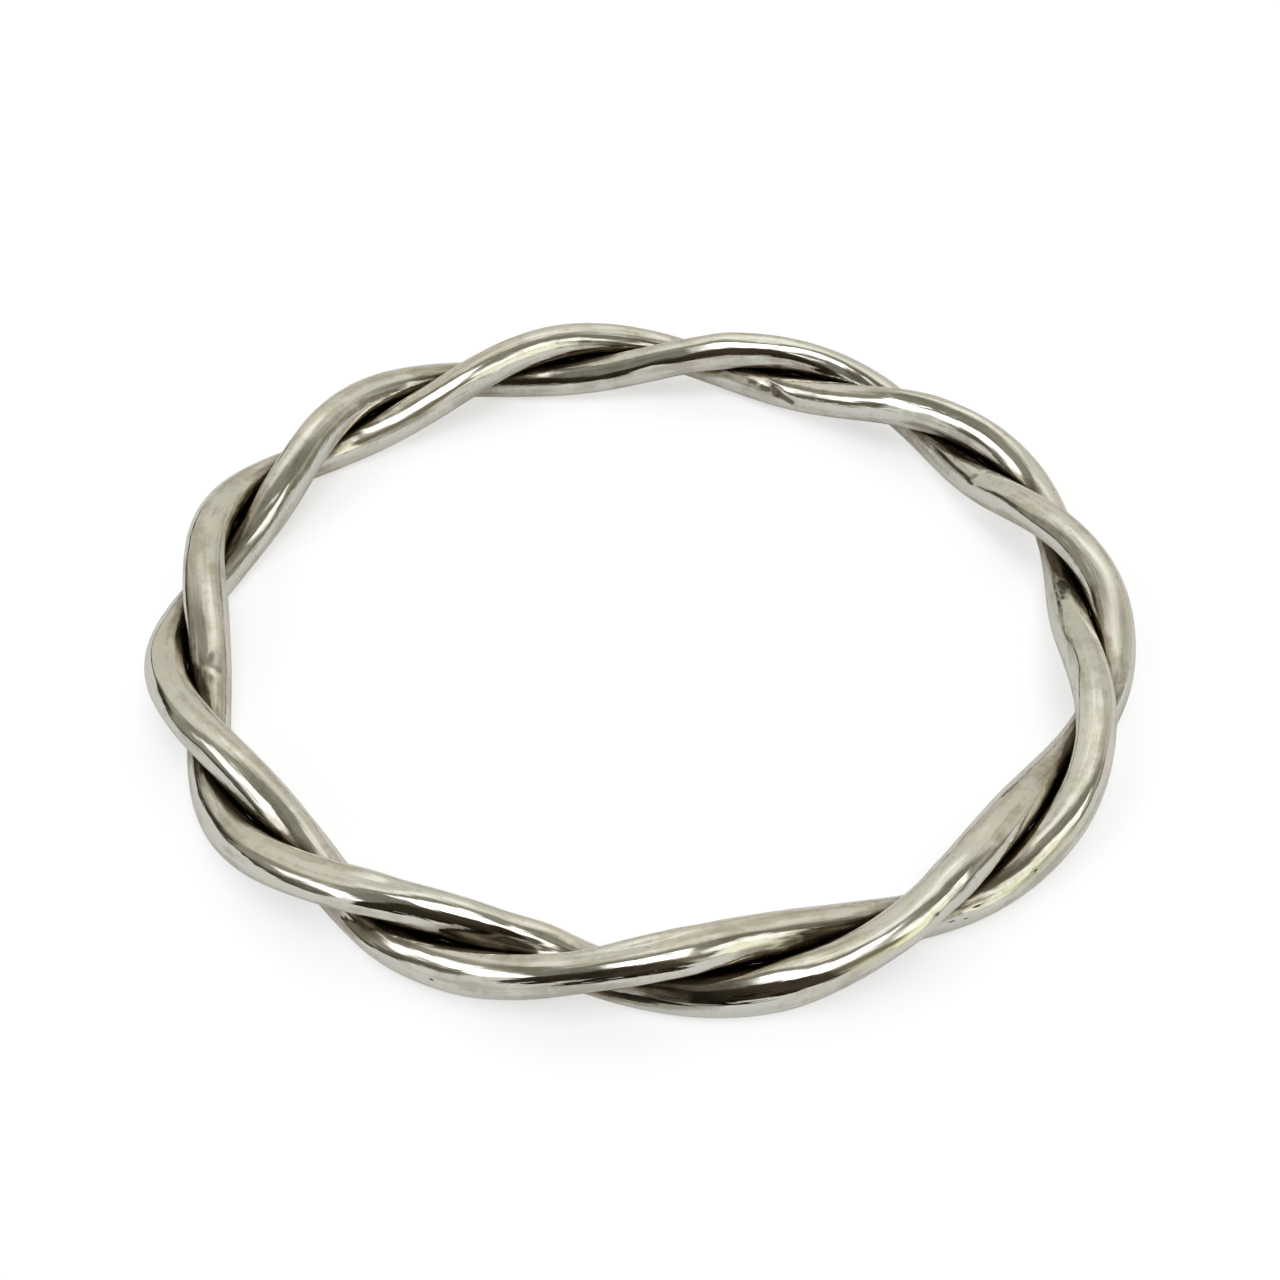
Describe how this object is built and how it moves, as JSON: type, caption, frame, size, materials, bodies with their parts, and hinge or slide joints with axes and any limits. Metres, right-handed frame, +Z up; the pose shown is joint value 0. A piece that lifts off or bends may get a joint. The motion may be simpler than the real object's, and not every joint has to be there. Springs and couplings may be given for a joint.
{
  "type": "twisted wire bangle",
  "caption": "Closed silver bangle: two round wires laid loosely round each other into a rope-like ring, soldered at one seam, lying flat on its side.",
  "frame": {"origin": "centre of the ring, on the floor that the bangle lies on", "axes": "+Z up along the ring's axis, +X to the right and +Y away from the viewer in the picture"},
  "size_m": [0.0761, 0.0757, 0.0065],
  "materials": {
    "first_wire_silver": "hand-polished sterling silver, softly worn, dark in the groove between the wires",
    "second_wire_silver": "hand-polished sterling silver, softly worn, dark in the groove between the wires"
  },
  "bodies": {
    "root": {"first_wire": "first_wire_silver", "second_wire": "second_wire_silver"}
  },
  "joints": []
}
